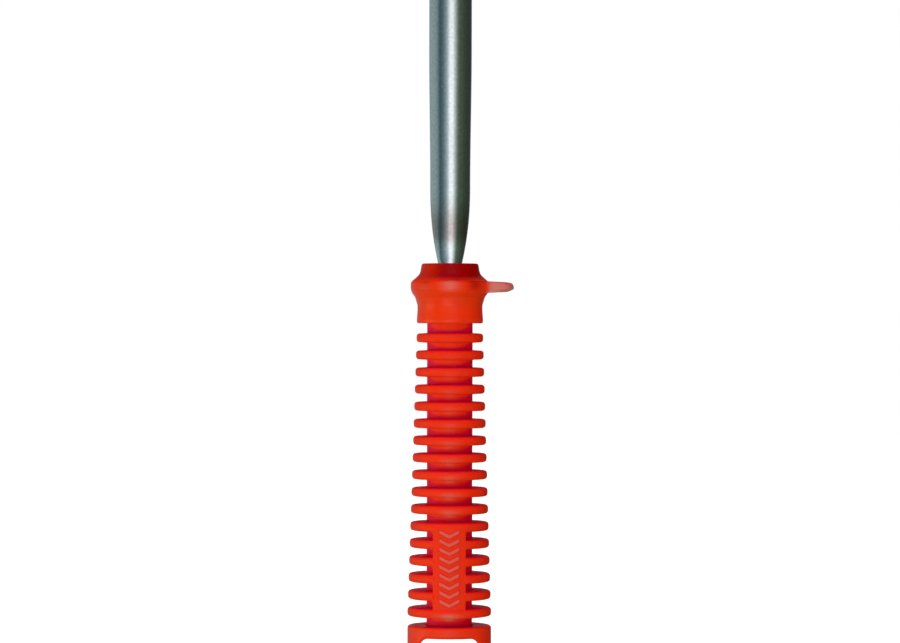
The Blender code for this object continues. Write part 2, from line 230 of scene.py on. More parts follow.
# %% Colour and node helpers
def linear(hex_colour):
    """sRGB hex to linear RGBA, by the standard curve."""
    value = np.array([int(hex_colour[i : i + 2], 16) for i in (1, 3, 5)]) / 255
    light = np.where(value <= 0.04045, value / 12.92, ((value + 0.055) / 1.055) ** 2.4)
    return (*light.tolist(), 1.0)


def feed(tree, node, inputs):
    """Fills inputs. A value is a constant, a socket to link from, or a node that gives its first output."""
    for key, value in inputs.items():
        if isinstance(value, bpy.types.Node):
            value = next(output for output in value.outputs if output.enabled)
        if isinstance(value, bpy.types.NodeSocket):
            tree.links.new(value, node.inputs[key])
        else:
            node.inputs[key].default_value = value


def add(tree, kind, inputs=None, **settings):
    """Adds one node with its settings, and then fills its inputs."""
    node = tree.nodes.new(kind)
    for key, value in settings.items():
        setattr(node, key, value)
    feed(tree, node, inputs or {})
    return node


def new_material(name):
    """An empty material with its tree, its Principled shader and the piece's own coordinates."""
    material = bpy.data.materials.new(name)
    material.use_nodes = True
    tree = material.node_tree
    shader = tree.nodes["Principled BSDF"]
    place = add(tree, "ShaderNodeTexCoord").outputs["Object"]
    return material, tree, shader, place


# %% [markdown]
# ## Steel of the blade
#
# The blade is drawn steel rod with a satin nickel plate. Drawing leaves fine lines along the rod. They
# spread a reflection round the rod much more than along it, which is what anisotropy means, so the shader's
# tangent runs round the axis. The reduction near the handle is painted a little darker and browner, except
# at the very neck: a painted reflection of the dark red collar that its curve mirrors. Metals keep the
# default IOR: their colour is the base colour, and roughness does the rest.

# %% Satin nickel steel
PLATE = "#C3C9C6"
# Colour of the painted reflection of the red collar in the reduction's curve
PAINTED_REFLECTION = "#A39A95"
REFLECTION_FADE = (17 * MM, 8 * MM)  # heights above the collar where the brown tone starts and is full
NECK_FADE = (3 * MM, 7 * MM)  # the same, from the neck upwards, where the painted reflection ends
DRAW_LINE = 0.12 * MM  # coarser than the real 0.02 mm, so that it shows
PIT = 0.35 * MM
CLOUDS_PER_METRE = 90.0  # slow change of gloss


def satin_nickel():
    material, tree, shader, place = new_material("satin_nickel_drawn_steel")
    split = add(tree, "ShaderNodeSeparateXYZ", {"Vector": place})
    # A painted reflection: browner where the reduction mirrors the collar, back to the plate at the neck
    reflection_rise, neck_rise = (
        add(
            tree,
            "ShaderNodeMapRange",
            {"Value": split.outputs["Z"], "From Min": COLLAR_TOP_Z + none, "From Max": COLLAR_TOP_Z + full},
            interpolation_type="SMOOTHSTEP",
        )
        for none, full in (REFLECTION_FADE, NECK_FADE)
    )
    reflection_share = add(tree, "ShaderNodeMath", {0: reflection_rise, 1: neck_rise}, operation="MULTIPLY")
    drawn = add(tree, "ShaderNodeMapping", {"Vector": place, "Scale": (1, 1, 0.02)})
    fineness = {"Vector": drawn, "Scale": 0.5 / DRAW_LINE, "Detail": 3.0, "Roughness": 0.6}
    lines = add(tree, "ShaderNodeTexNoise", fineness)
    grain = add(tree, "ShaderNodeTexNoise", {"Vector": place, "Scale": 0.5 / PIT, "Detail": 4.0})
    cloudy = {"Vector": place, "Scale": CLOUDS_PER_METRE, "Detail": 2.0}
    cloud = add(tree, "ShaderNodeTexNoise", cloudy)
    tones = {"Factor": reflection_share, "A": linear(PLATE), "B": linear(PAINTED_REFLECTION)}
    tint = add(tree, "ShaderNodeMix", tones, data_type="RGBA")
    speckle, gloss = (
        add(
            tree,
            "ShaderNodeMapRange",
            {"Value": noise, "From Min": 0.3, "From Max": 0.7, "To Min": least, "To Max": most},
        )
        for noise, least, most in ((grain, 0.88, 1.08), (cloud, 0.16, 0.20))
    )
    speckled = {"Factor": 1.0, "A": tint, "B": speckle}
    shade = add(tree, "ShaderNodeMix", speckled, data_type="RGBA", blend_type="MULTIPLY")
    fine = add(tree, "ShaderNodeBump", {"Height": lines, "Strength": 0.10, "Distance": 0.02 * MM})
    pitted = {"Height": grain, "Normal": fine, "Strength": 0.10, "Distance": 0.05 * MM}
    rough = add(tree, "ShaderNodeBump", pitted)
    around = add(tree, "ShaderNodeTangent", direction_type="RADIAL", axis="Z")
    feed(tree, shader, {"Base Color": shade, "Roughness": gloss, "Normal": rough, "Tangent": around})
    shader.inputs["Metallic"].default_value = 1.0
    shader.inputs["Anisotropic"].default_value = 0.5
    return material


steel = satin_nickel()
print("made", steel.name)

# %% [markdown]
# ## Blade
#
# One forging. From the top: a tip ground hollow on two sides by a 120 mm wheel, a round shank, a slight
# taper, a curved reduction to the neck, and inside the handle the tang with its ring groove and two wings.
# The turned part is a radius for every height. The grinding is a limit on how far the section reaches in Y.
# A boolean would cut it too, but it would leave long thin faces that reflect badly, so here the grid's own
# columns run along the ground edges.

# %% Blade sizes
NECK_RADIUS = 2.8 * MM
REDUCTION_LENGTH = 18.0 * MM
REDUCTION_CURVE = 2.2
SWAGE_LENGTH = 32.0 * MM
SWAGE_DEPTH = 0.3 * MM
TANG_RADIUS = 2.2 * MM
GROOVE_RADIUS = 1.7 * MM
SHOULDER_Z = CORE_TOP_Z + CLEARANCE
RING_MIDDLE_Z = (ring_low.z + ring_high.z) / 2
HALF_GROOVE = (ring_high.z - ring_low.z) / 2 + CLEARANCE
WING_TOP_Z = SHOULDER_Z - 14.0 * MM
WING_FOOT_Z = WING_TOP_Z - 10.0 * MM
WING_HALF = (0.7 * MM, 2.7 * MM)  # half thickness along X, half width along Y
GRIND_RADIUS = 60.0 * MM
GRIND_LENGTH = 30.0 * MM  # more than the wheel takes from the tip
TIP_HALF = 0.8 * MM
ROUND_SHARE = math.radians(80)


# %% Blade shape
def shank_radius(rise):
    """Radius at a height above the collar: a power curve out of the neck, then a smooth slight taper."""
    foot = SHANK_RADIUS - SWAGE_DEPTH
    share = np.clip(1 - rise / REDUCTION_LENGTH, 0, 1)
    taper = np.clip((rise - REDUCTION_LENGTH) / SWAGE_LENGTH, 0, 1)
    curve = foot - (foot - NECK_RADIUS) * share**REDUCTION_CURVE
    return curve + SWAGE_DEPTH * taper**2 * (3 - 2 * taper)


def ground_half(height):
    """Half thickness that the wheel leaves, with d the distance from the tip: half + G - sqrt(G^2 - d^2)."""
    away = np.clip(TIP_Z - height, 0, 0.9 * GRIND_RADIUS)
    return TIP_HALF + GRIND_RADIUS - np.sqrt(GRIND_RADIUS**2 - away**2)


def blade_outline():
    """Radius and height from the tang's foot up to the tip, with both ends on the axis."""
    tang = round_corners(
        [
            (0, TANG_FOOT_Z),
            (TANG_RADIUS, TANG_FOOT_Z),
            (TANG_RADIUS, RING_MIDDLE_Z - HALF_GROOVE),
            (GROOVE_RADIUS, RING_MIDDLE_Z - HALF_GROOVE),
            (GROOVE_RADIUS, RING_MIDDLE_Z + HALF_GROOVE),
            (TANG_RADIUS, RING_MIDDLE_Z + HALF_GROOVE),
            (TANG_RADIUS, WING_FOOT_Z - 1e-6),
            (TANG_RADIUS, WING_FOOT_Z),
            (TANG_RADIUS, WING_TOP_Z),
            (TANG_RADIUS, WING_TOP_Z + 1e-6),
            (TANG_RADIUS, SHOULDER_Z),
            (NECK_RADIUS, SHOULDER_Z),
            (NECK_RADIUS, COLLAR_TOP_Z - 1 * MM),
        ],
        np.array([0, 0.5, 0, 0, 0, 0, 0, 0, 0, 0, 0, 0.1, 0]) * MM,
    )
    drawn = REDUCTION_LENGTH + SWAGE_LENGTH
    reach = TIP_Z - COLLAR_TOP_Z
    rise = np.concatenate(
        [
            np.linspace(0, drawn, 73),
            np.linspace(drawn, reach - GRIND_LENGTH, 26)[1:-1],
            np.linspace(reach - GRIND_LENGTH, reach, 91),
        ]
    )
    shank = np.stack([shank_radius(rise), COLLAR_TOP_Z + rise], axis=1)
    return np.concatenate([tang, shank, [[0, TIP_Z]]])


def blade_sheet(arc_columns=56, flat_columns=28):
    """Each row goes round as arc, flat, arc, flat. The arcs end at the angle where the ground flats begin,
    asin(half thickness / radius), or at a fixed angle where the shank is still round."""
    outline = blade_outline()
    radius = outline[:, 0][:, None]
    height = outline[:, 1][:, None]
    reach = np.minimum(ground_half(height), radius)
    corner = np.arcsin(np.clip(reach / np.maximum(radius, 1e-9), 0, math.sin(ROUND_SHARE)))
    along = np.linspace(-1, 1, arc_columns + 1)[None, :-1]
    across = np.linspace(1, -1, flat_columns + 1)[None, :-1]
    arc_x = radius * np.cos(corner * along)
    arc_y = radius * np.sin(corner * along)
    flat_x = radius * np.cos(corner) * across
    flat_y = np.minimum(np.sqrt(np.maximum(radius**2 - flat_x**2, 0)), ground_half(height))
    x = np.concatenate([arc_x, flat_x, -arc_x, -flat_x], axis=1)
    y = np.concatenate([arc_y, flat_y, -arc_y, -flat_y], axis=1)
    grow = wing_growth(x, y, height)
    sheet = np.stack(np.broadcast_arrays(x * grow, y * grow, height, 0.0), axis=-1)
    return np.concatenate([sheet, sheet[:, :1]], axis=1)


def wing_growth(x, y, height):
    """How much further out the wings' box lies than the tang, along the line from the axis, or 1."""
    radius = np.maximum(np.hypot(x, y), 1e-9)
    reach_x = WING_HALF[0] * radius / np.maximum(np.abs(x), 1e-9)
    reach_y = WING_HALF[1] * radius / np.maximum(np.abs(y), 1e-9)
    at_wing = (height >= WING_FOOT_Z) & (height <= WING_TOP_Z)
    return np.where(at_wing, np.maximum(np.minimum(reach_x, reach_y) / radius, 1), 1)


make_piece("screwdriver_blade", [blade_sheet()], steel, "blade", 25)

# %% [markdown]
# ## Red plastics
#
# The grip is soft PVC, and the collar and the end loop are a firmer grade of the same red. Light enters such
# plastic, and its red part wanders a little before it leaves, so thin ribs glow and shadows stay red. It is
# subsurface scattering, with a long red radius and short green and blue ones. The moulds were spark eroded,
# which leaves a fine even grain. Each mesh carries a number per point. Above 0 it is painted shade on
# ledges, in grooves, on faces that look up and on the collar's throat, which turns the orange red to
# crimson. Below 0 it is a painted highlight where light catches the fronts and the raised bars, and a paler
# tone on the tab.

# %% Moulded red plastic
GRAIN = 0.18 * MM  # spark-eroded texture
MOTTLE = 6.0 * MM  # slow change of colour from uneven pigment
SCUFF = 1.1 * MM
# Colour of the painted highlights, and of the tab's paler tone
HIGHLIGHT_AND_PALE = "#D28878"
WORN = "#F08A6C"  # light scuffs


def moulded_red(name, bright, deep, shade_colour, roughness, gloss_level, scatter):
    """Layers of colour, each laid over the one before by its own amount, on a finely grained surface."""
    material, tree, shader, place = new_material(name)
    mottle = add(tree, "ShaderNodeTexNoise", {"Vector": place, "Scale": 1 / MOTTLE, "Detail": 3.0})
    grain = add(tree, "ShaderNodeTexNoise", {"Vector": place, "Scale": 0.5 / GRAIN, "Detail": 2.0})
    scuffing = {"Vector": place, "Scale": 1 / SCUFF, "Detail": 5.0, "Roughness": 0.65}
    scuff = add(tree, "ShaderNodeTexNoise", scuffing)
    shade_and_pale = add(tree, "ShaderNodeAttribute", attribute_name="shade_and_pale").outputs["Fac"]
    uneven = add(tree, "ShaderNodeMath", {0: scuff, 1: 0.3, 2: 0.85}, operation="MULTIPLY_ADD")
    # The per-point number paints shade in the shade colour above 0, and highlight and paler tone below 0
    painted_tone, highlight_and_pale_share = (
        add(tree, "ShaderNodeMath", {0: shade_and_pale, 1: share}, operation="MULTIPLY", use_clamp=True)
        for share in (uneven, -1.0)
    )
    wear, gloss = (
        add(
            tree,
            "ShaderNodeMapRange",
            {"Value": scuff, "From Min": low, "From Max": high, "To Min": least, "To Max": most},
        )
        for low, high, least, most in (
            (0.62, 0.80, 0.0, 0.10),
            (0.30, 0.75, roughness - 0.06, roughness + 0.10),
        )
    )
    colour = linear(deep)
    for amount, coat in ((mottle, bright), (painted_tone, shade_colour), (highlight_and_pale_share, HIGHLIGHT_AND_PALE), (wear, WORN)):
        layer = {"Factor": amount, "A": colour, "B": linear(coat)}
        colour = add(tree, "ShaderNodeMix", layer, data_type="RGBA")
    bump = add(tree, "ShaderNodeBump", {"Height": grain, "Strength": 0.18, "Distance": 0.03 * MM})
    feed(tree, shader, {"Base Color": colour, "Roughness": gloss, "Normal": bump})
    shader.inputs["Subsurface Weight"].default_value = scatter
    shader.inputs["Subsurface Radius"].default_value = (1.0, 0.10, 0.06)
    shader.inputs["Subsurface Scale"].default_value = 1.6 * MM
    shader.inputs["Specular IOR Level"].default_value = gloss_level
    return material


# Each red's third colour is its painted shade: crimson on the grip and loop, dark red on the collar
soft_red = moulded_red("soft_pvc_moulded_red", "#F0390F", "#EA330D", "#E4024A", 0.52, 0.11, 0.35)
loop_red = moulded_red("firm_pvc_moulded_red", "#EE3E12", "#E83810", "#E4024A", 0.46, 0.15, 0.30)
collar_red = moulded_red("firm_pvc_red_with_painted_shade", "#F0400C", "#EA3B0A", "#980000", 0.32, 0.13, 0.30)
print("made", soft_red.name, loop_red.name, collar_red.name)

# %% [markdown]
# Where the painted shade and the painted highlights lie is worked out with the shapes below, from two soft
# edges: one that goes from 0 to 1, and one that rises and falls again. Painting it by hand would have to be
# done again each time that a size changes.


# %% Soft edges
def smooth_step(value, low, high):
    """0 below low, 1 above high, and 3 t^2 - 2 t^3 in between."""
    share = np.clip((value - low) / (high - low), 0, 1)
    return share**2 * (3 - 2 * share)


def bell(value, middle, spread):
    """A smooth hump of height 1: exp(-((value - middle) / spread)^2)."""
    return np.exp(-(((value - middle) / spread) ** 2))


# %% [markdown]
# ## Ribbed grip
#
# A soft sleeve with round ribs that grow towards the butt. On the front and the back a long pad joins the
# lower ribs. The sleeve is a turned profile, and the pad is a second radius in the same polar grid. Between
# the pad's two edges the grid takes the pad's face, and beyond them whichever lies further out. The pad's
# side walls are parallel because the mould opens front to back, so the radius there is half the width over
# the cosine of the angle from the X axis.

# %% Grip sizes
RIB_COUNT = 17
RIB_PITCH = 4.0 * MM
RIB_THICKNESS = 2.0 * MM
RIB_DRAFT = 0.15 * MM  # how much thicker a rib is at its root, on each side
TOP_RIB_RADIUS = 7.8 * MM
LAST_RIB_RADIUS = sleeve_high.x
RIB_GROWTH = (LAST_RIB_RADIUS - TOP_RIB_RADIUS) / (RIB_COUNT - 1)
LAST_RIB_Z = LOOP_HEIGHT + 3.2 * MM
FIRST_RIB_Z = LAST_RIB_Z + (RIB_COUNT - 1) * RIB_PITCH
RIM_ROUND = 0.65 * MM
ROOT_ROUND = 0.25 * MM
ROOT_ROWS = 7  # rows of points along each groove's floor, for the painted shadow's edge
SHADOW_LINE = 0.70 * MM  # how far up from a rib's upper face the painted shadow reaches in front
SHADOW_CLIMB = 2.1 * MM  # and how much further at the sides
SHADOW_BLUR = 0.35 * MM
HIGHLIGHT_MOST = 0.5  # how strong the painted highlight is in front at the lowest rib
HIGHLIGHT_SPREAD = 0.25  # as a cosine of the angle from the side
PAD_HALF = 3.85 * MM
PAD_TOP_RIB = 11
PAD_TOP_Z = FIRST_RIB_Z - PAD_TOP_RIB * RIB_PITCH
PAD_FOOT_Z = LAST_RIB_Z + RIB_THICKNESS / 2 - 0.02 * MM
PAD_BLEND = 0.18 * MM


# %% Sleeve profile
def rib_envelope(height):
    """Radius of the cone that touches every rib's rim."""
    return TOP_RIB_RADIUS + RIB_GROWTH * (FIRST_RIB_Z - height) / RIB_PITCH


def sleeve_outline():
    """Closed profile: down the outer side rib by rib, then up the bore, with every corner rounded."""
    middle = FIRST_RIB_Z - RIB_PITCH * np.arange(RIB_COUNT)
    rim = TOP_RIB_RADIUS + RIB_GROWTH * np.arange(RIB_COUNT)
    half = RIB_THICKNESS / 2
    root = np.full(RIB_COUNT, SLEEVE_RADIUS)
    corners = np.stack([root, rim, rim, root], axis=1)
    thick = half + RIB_DRAFT
    heights = np.stack([middle + thick, middle + half, middle - half, middle - thick], axis=1)
    grooves = np.append(middle, middle[-1] - RIB_PITCH)[:, None] + RIB_PITCH / 2
    grooves = grooves + np.linspace(0.6, -0.6, ROOT_ROWS) * MM
    core = np.stack([SLEEVE_RADIUS + 0 * grooves, grooves], axis=-1)
    ribs = np.concatenate([core[:-1], np.stack([corners, heights], axis=-1)], axis=1).reshape(-1, 2)
    rounds = np.tile([0] * ROOT_ROWS + [ROOT_ROUND, RIM_ROUND, RIM_ROUND, ROOT_ROUND], RIB_COUNT)
    ends = [[SLEEVE_RADIUS, SLEEVE_FOOT_Z], [SLEEVE_BORE, SLEEVE_FOOT_Z], [SLEEVE_BORE, SLEEVE_TOP_Z]]
    profile = np.concatenate([[[SLEEVE_RADIUS, SLEEVE_TOP_Z]], ribs, core[-1], ends])
    rounds = np.concatenate([[0.2 * MM], rounds, [0] * ROOT_ROWS, [0.2 * MM, 0.1 * MM, 0.1 * MM]])
    return round_corners(profile, rounds, steps=3, closed=True)


# %% Painted shade and highlight on the grip
def groove_shade_and_highlight(radius, height, angles):
    """Painted shade: 1 on each rib's upper face and 0 on its rim. In the groove above it reaches up to a
    line that is low in front and behind, the edge of the shadow that the rib below casts from a low lamp,
    and climbs with 1 - |sin(angle)| towards the sides. A painted highlight in front and behind goes below 0,
    in proportion to how far down the rib is."""
    fall = (FIRST_RIB_Z + RIB_THICKNESS / 2 - height) / RIB_PITCH
    share = fall - np.floor(fall)
    above = np.where(share > 0.5 * RIB_THICKNESS / RIB_PITCH, 1 - share, 0) * RIB_PITCH
    line = SHADOW_LINE + SHADOW_CLIMB * (1 - np.abs(np.sin(angles)))
    depth = rib_envelope(height) - radius
    painted_tone = smooth_step(line - above, -SHADOW_BLUR, SHADOW_BLUR) * smooth_step(depth, 0.1 * MM, 0.6 * MM)
    low_down = (FIRST_RIB_Z - height) / (FIRST_RIB_Z - LAST_RIB_Z)
    highlight_and_pale_share = bell(np.cos(angles), 0, HIGHLIGHT_SPREAD) * smooth_step(above, 0.8 * MM, 1.4 * MM)
    return painted_tone - HIGHLIGHT_MOST * low_down * highlight_and_pale_share


# %% Grip with its two pads
def grip_angles():
    """Columns are close together where the pad's side walls stand, and further apart elsewhere."""
    wall = np.radians(np.arange(20, 48, 0.8))
    face = np.radians(np.arange(0, 20, 2.5))
    side = np.radians(np.arange(48, 90, 2.5))
    quarter = np.concatenate([face, wall, side])
    half = np.concatenate([quarter, [math.pi / 2], math.pi - quarter[::-1]])[:-1]
    turn = np.concatenate([half, half + math.pi, [2 * math.pi]])
    return turn - math.pi / 2


def soft_max(one, other, blend):
    """The larger of the two, rounded where they meet: (a + b + sqrt((a - b)^2 + k^2)) / 2."""
    return (one + other + np.sqrt((one - other) ** 2 + blend**2)) / 2


def pad_face(height):
    """The pad starts flush with its first rib and grows half as fast as the rims do."""
    return rib_envelope(PAD_TOP_Z) + 0.5 * RIB_GROWTH * (PAD_TOP_Z - height) / RIB_PITCH


def grip_sheet():
    """The sleeve's profile at every angle, with the pad's section laid over it between the pad's walls."""
    outline = sleeve_outline()
    angles = grip_angles()[None, :]
    height = outline[:, 1][:, None]
    turned = outline[:, 0][:, None]
    wall = PAD_HALF / np.maximum(np.abs(np.cos(angles)), 1e-6)
    section = -soft_max(-pad_face(height), -wall, PAD_BLEND)
    outer = turned > (SLEEVE_BORE + SLEEVE_RADIUS) / 2
    padded = outer & (height <= PAD_TOP_Z) & (height >= PAD_FOOT_Z)
    on_face = padded & (wall > rib_envelope(height))
    radius = np.where(on_face, section, np.where(padded, np.maximum(section, turned), turned))
    # Painted shade in the grooves and on the ribs' upper faces, painted highlight in front, none on the pad
    painted_tone = groove_shade_and_highlight(turned, height, angles) * (outer & ~on_face)
    return polar_sheet(radius, height, angles, painted_tone)


make_piece("ribbed_grip", closed_ring(grip_sheet()), soft_red, "grip_sleeve", 50)

# %% [markdown]
# ## Raised bars on the pads
#
# The pads carry a low relief that gives the thumb a hold: plain bars folded into arrows. It is a height
# over a flat rectangle, wrapped onto the pad's cone. Engraving it as bump alone would vanish at a glancing
# angle, so it is real geometry, a thin plate whose floor lies just under the pad's surface.

# %% Pad relief
ARROW_PITCH = 2.0 * MM
ARROW_COUNT = 9
ARROW_HALF = 2.3 * MM
ARROW_SLOPE = 0.5
BAR_HALF = 0.36 * MM
BAR_EDGE = 0.16 * MM
BAR_HEIGHT = 0.26 * MM
FLOOR_SUNK = 0.04 * MM
PLATE_DEPTH = 0.5 * MM
BAR_HIGHLIGHT = 0.5  # how strong the painted highlight on the bars' tops is


def relief_sheets(side, across_points=49, along_points=241):
    """The height depends on the distance to the nearest arrow line, z = n * pitch + slope * |u|: flat on top
    within half a bar, then down a smooth edge. side is -1 for the front and 1 for the back."""
    last = (ARROW_COUNT - 1) / 2
    foot = -last * ARROW_PITCH - 0.7 * MM
    head = last * ARROW_PITCH + ARROW_HALF * ARROW_SLOPE + 0.6 * MM
    middle = (PAD_TOP_Z + PAD_FOOT_Z - head - foot) / 2
    u = np.linspace(-ARROW_HALF - 0.3 * MM, ARROW_HALF + 0.3 * MM, across_points)[None, :]
    v = np.linspace(foot, head, along_points)[:, None]
    phase = (v - np.abs(u) * ARROW_SLOPE) / ARROW_PITCH
    distance = np.abs(phase - np.round(phase)) * ARROW_PITCH * math.cos(math.atan(ARROW_SLOPE))
    inside = np.minimum(BAR_HALF - distance, ARROW_HALF - np.abs(u))
    inside = np.where(np.abs(np.round(phase)) > last, -BAR_EDGE, inside)
    ridge = smooth_step(inside, -BAR_EDGE, BAR_EDGE / 2)
    height = middle + v + 0 * u
    top = pad_face(height) + BAR_HEIGHT * ridge - FLOOR_SUNK
    bottom = pad_face(height) - PLATE_DEPTH
    # Painted shade at the foot of each bar, and a painted highlight on its top
    painted_tone = smooth_step(inside, -0.30 * MM, -0.05 * MM) * (1 - ridge) - BAR_HIGHLIGHT * ridge
    low, high = (
        np.stack(np.broadcast_arrays(u, side * np.sqrt(radius**2 - u**2), height, tone), axis=-1)
        for radius, tone in ((bottom, 0.0), (top, painted_tone))
    )
    body = np.concatenate([low[:, :1], high, low[:, ::-1]], axis=1)
    return [body, np.stack([high[0], low[0]]), np.stack([high[-1], low[-1]])]


for side, label in ((-1, "front"), (1, "back")):
    make_piece(f"pad_bars_{label}", relief_sheets(side), soft_red, sharp_above=40)

# %% [markdown]
# ## Guard collar
#
# A firm collar with a flange and one side tab. Its profile is turned like the sleeve, in three runs: from
# the mouth down to the flange, round the flange's rim, and then down and back up the bore. On the tab's
# side the rim is carried outwards to the tab's edge and pressed a little thinner, and the rows between the
# runs stretch to make the tab's two faces. Seen from above the tab is a bar with a round end. In polar form
# its edge is half its width over the sine of the angle, and on the round end the far root of a circle.

# %% Collar sizes
MOUTH_RADIUS = 6.60 * MM
COLLAR_RADIUS = 7.6 * MM
FLANGE_Z = COLLAR_TOP_Z - 5.35 * MM
RIM_START = FLANGE_RADIUS - 0.3 * MM
RIM_TOP = 1.24 * MM  # where the tab's upper face begins, above the flange's middle
RIM_FOOT = -1.50 * MM
TAB_HALF = 3.5 * MM
TAB_FILLET = 1.6 * MM
TAB_THINNING = 0.82  # the tip's share of the root's thickness
TAB_NOSE = 5.0  # how much longer the rounded nose of the rim is at the tab's tip
BUSH_POCKET = bush_high.x + CLEARANCE
SHELF_Z = CORE_TOP_Z + CLEARANCE


# %% Collar seen from above
def plan_radius(angles):
    """Outer edge seen from above: the round flange, blended with the tab's bar and its round end."""
    wrapped = (angles + math.pi) % (2 * math.pi) - math.pi
    far = TAB_REACH - TAB_HALF
    inside = np.maximum(TAB_HALF**2 - (far * np.sin(wrapped)) ** 2, 0)
    end = far * np.cos(wrapped) + np.sqrt(inside)
    bar = TAB_HALF / np.maximum(np.abs(np.sin(wrapped)), 1e-6)
    on_end = np.abs(wrapped) < math.atan2(TAB_HALF, far)
    tab = np.where(on_end, end, np.minimum(bar, TAB_REACH))
    tab = np.where(np.cos(wrapped) > 0, tab, 0)
    blended = soft_max(FLANGE_RADIUS, tab, TAB_FILLET)
    plain = soft_max(FLANGE_RADIUS, 0, TAB_FILLET)
    reach = soft_max(TAB_REACH, FLANGE_RADIUS, TAB_FILLET)
    return FLANGE_RADIUS + (blended - plain) * (TAB_REACH - FLANGE_RADIUS) / (reach - plain)


# %% Collar profile
def collar_runs():
    """The three runs of the profile, each as radius and height, every corner rounded."""
    mouth = round_corners(
        [
            (BUSH_POCKET, SHELF_Z),
            (BUSH_POCKET, COLLAR_TOP_Z),
            (MOUTH_RADIUS, COLLAR_TOP_Z),
            (MOUTH_RADIUS + 0.45 * MM, COLLAR_TOP_Z - 2.5 * MM),
            (RIM_START, FLANGE_Z + RIM_TOP),
        ],
        np.array([0, 0.2, 0.45, 2.2, 0]) * MM,
        steps=6,
    )
    rim = round_corners(
        [
            (RIM_START, FLANGE_Z + RIM_TOP),
            (FLANGE_RADIUS, FLANGE_Z + 0.80 * MM),
            (FLANGE_RADIUS, FLANGE_Z - 0.60 * MM),
            (RIM_START, FLANGE_Z + RIM_FOOT),
        ],
        np.array([0, 0.8, 1.6, 0]) * MM,
        steps=6,
    )
    skirt = round_corners(
        [
            (RIM_START, FLANGE_Z + RIM_FOOT),
            (8.15 * MM, FLANGE_Z - 2.6 * MM),
            (COLLAR_RADIUS, FLANGE_Z - 4.4 * MM),
            (COLLAR_RADIUS, COLLAR_FOOT_Z + 3.0 * MM),
            (COLLAR_RADIUS + 0.17 * MM, COLLAR_FOOT_Z + 0.8 * MM),
            (COLLAR_RADIUS + 0.12 * MM, COLLAR_FOOT_Z),
            (SLEEVE_RADIUS + CLEARANCE, COLLAR_FOOT_Z),
            (SLEEVE_RADIUS + CLEARANCE, SLEEVE_TOP_Z + CLEARANCE),
            (CORE_RADIUS + CLEARANCE, SLEEVE_TOP_Z + CLEARANCE),
            (CORE_RADIUS + CLEARANCE, SHELF_Z),
            (BUSH_POCKET, SHELF_Z),
        ],
        np.array([0, 2.2, 2.4, 2.5, 0.6, 0.35, 0.15, 0.1, 0.1, 0.1, 0]) * MM,
        steps=6,
    )
    return mouth, rim, skirt


# %% Painted shade and highlight on the collar
THROAT_SHADE_LEAST = 0.55  # painted shade on the throat opposite the tab
RIM_SHADE = 0.5  # painted shade on the rim between front and side, and how much more of it there is by the tab
RIM_SHADE_MORE = 0.15
RIM_HIGHLIGHT = 0.6  # how strong the painted highlight on the rim is in front and behind


def collar_tone(height, angles, above, share, carried):
    """Painted shade on the throat, less on the side away from the tab, and in soft places on the rim between
    front and side, more of it by the tab. A painted highlight on the rim in front and behind, and a paler
    tone on the tab. share is how far a point's angle reaches out along the tab, from 0 to 1."""
    facing = np.cos(angles)
    throat = smooth_step(height, FLANGE_Z + RIM_TOP - 0.2 * MM, FLANGE_Z + RIM_TOP + 0.5 * MM)
    throat_side_shade = THROAT_SHADE_LEAST + (1 - THROAT_SHADE_LEAST) * smooth_step(facing, -0.9, -0.1)
    on_rim = smooth_step(above, RIM_FOOT, 0) * (carried == 1)
    corner_shade = (RIM_SHADE + RIM_SHADE_MORE * np.sign(facing)) * bell(np.abs(facing), 0.62, 0.16)
    front_highlight = RIM_HIGHLIGHT * bell(facing, 0, 0.2)
    return throat * throat_side_shade + (corner_shade - front_highlight) * on_rim - smooth_step(share * carried, 0, 0.25)


# %% Collar with its tab
def collar_sheet():
    """carried is 0 on the collar itself, 1 on the rim, and rises in steps on the tab's faces."""
    mouth, rim, skirt = collar_runs()
    rise = np.linspace(0, 1, 8)[1:-1]
    steps = len(rise)
    upper_face = np.repeat(rim[:1], steps, 0)
    lower_face = np.repeat(rim[-1:], steps, 0)
    outline = np.concatenate([mouth, upper_face, rim, lower_face, skirt])
    carried = [np.zeros(len(mouth)), rise, np.ones(len(rim)), rise[::-1], np.zeros(len(skirt))]
    carried = np.concatenate(carried)[:, None]
    turn = np.concatenate([np.arange(-60, 60, 0.75), np.arange(60, 300, 1.5), [300]])
    angles = np.radians(turn)[None, :]
    reach = plan_radius(angles) - FLANGE_RADIUS
    share = reach / (TAB_REACH - FLANGE_RADIUS)
    turned = outline[:, 0][:, None]
    above = outline[:, 1][:, None] - FLANGE_Z
    tip = FLANGE_RADIUS - RIM_START
    plain = (turned - RIM_START) / tip
    middle = (RIM_TOP + RIM_FOOT) / 2
    oval = np.sqrt(np.clip(1 - ((above - middle) / (RIM_TOP - middle)) ** 2, 0, 1))
    nose = tip * (plain + (oval - plain) * share) * (1 + share * (TAB_NOSE - 1))
    rim_radius = RIM_START + reach - share * tip * (TAB_NOSE - 1) + nose
    root_radius = turned + carried * (reach - share * tip * (TAB_NOSE - 1))
    radius = np.where(carried == 1, rim_radius, root_radius)
    flat = 1 - (1 - TAB_THINNING) * share * carried
    height = FLANGE_Z + middle + (above - middle) * flat
    return polar_sheet(radius, height, angles, collar_tone(height, angles, above, share, carried))


collar_shape = closed_ring(collar_sheet())
collar = make_piece("flanged_collar", collar_shape, collar_red, "guard_collar", 50)
collar.visible_glossy = False  # else the neck above it mirrors its red mouth

